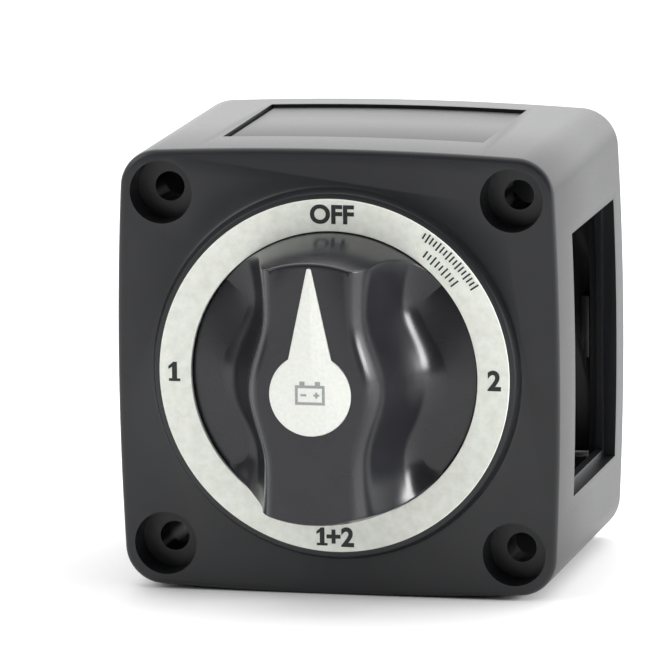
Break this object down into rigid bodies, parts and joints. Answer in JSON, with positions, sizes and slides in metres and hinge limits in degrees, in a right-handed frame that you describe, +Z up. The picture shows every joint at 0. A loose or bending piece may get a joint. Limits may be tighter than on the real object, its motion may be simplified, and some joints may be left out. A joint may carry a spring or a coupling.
{
  "type": "rotary battery selector switch",
  "caption": "Square panel-mount battery selector switch with a pull-off pointer knob, a round position ring, side cable windows with snap-in plates and rear terminal studs.",
  "frame": {"origin": "centre of the rear mounting face, on the knob's axis", "axes": "+X to the right seen from the front, +Y rearward into the wall or panel (the front face looks along -Y), +Z up"},
  "size_m": [0.0694, 0.0708, 0.0694],
  "materials": {
    "case_plastic": "charcoal moulded polycarbonate blend, satin",
    "base_plastic": "black glass-filled moulding",
    "knob_plastic": "dark grey moulding, smooth and softly glossy",
    "ring_plastic": "off-white luminescent plastic with black printed marks",
    "pointer_plastic": "off-white plastic inlay",
    "washer_plastic": "natural low-friction plastic",
    "seal_rubber": "black rubber",
    "tinned_copper": "tin plating over copper, dull silver",
    "contact_copper": "bare copper, rubbed bright at the contact faces",
    "stainless_steel": "stainless steel",
    "spring_steel": "spring steel wire and strip"
  },
  "bodies": {
    "case_body": {"case": "case_plastic", "label_ring": "ring_plastic", "contact_base": "base_plastic", "chamber_gasket": "seal_rubber", "base_screws": "stainless_steel", "stud_common": "tinned_copper", "stud_one": "tinned_copper", "stud_two": "tinned_copper", "stud_seals": "seal_rubber", "flat_washers": "stainless_steel", "lock_washers": "stainless_steel", "terminal_nuts": "stainless_steel", "detent_springs": "spring_steel"},
    "rotor": {"rotor_shaft": "base_plastic", "shaft_o_ring": "seal_rubber", "thrust_washer": "washer_plastic", "moving_contact": "contact_copper", "contact_springs": "spring_steel"},
    "knob": {"knob_handle": "knob_plastic", "knob_pointer": "pointer_plastic", "knob_clip": "spring_steel"},
    "rear_cover": {"back_cover": "case_plastic"},
    "top_plate": {"top_side_plate": "case_plastic"},
    "left_plate": {"left_side_plate": "case_plastic"},
    "bottom_plate": {"bottom_side_plate": "case_plastic"}
  },
  "joints": [
    {"name": "knob_turn", "type": "hinge", "parent": "case_body", "child": "rotor", "pos_m": [0, 0, 0], "axis": [0, -1, 0], "continuous": true, "deforming": ["detent_springs"]},
    {"name": "knob_pull", "type": "slide", "parent": "rotor", "child": "knob", "axis": [0, -1, 0], "range_m": [0, 0.016]},
    {"name": "back_cover_pull", "type": "slide", "parent": "case_body", "child": "rear_cover", "axis": [0, 1, 0], "range_m": [0, 0.03]},
    {"name": "top_plate_lift", "type": "slide", "parent": "case_body", "child": "top_plate", "axis": [0, 0, 1], "range_m": [0, 0.012]},
    {"name": "left_plate_pull", "type": "slide", "parent": "case_body", "child": "left_plate", "axis": [-1, 0, 0], "range_m": [0, 0.012]},
    {"name": "bottom_plate_drop", "type": "slide", "parent": "case_body", "child": "bottom_plate", "axis": [0, 0, -1], "range_m": [0, 0.012]}
  ]
}
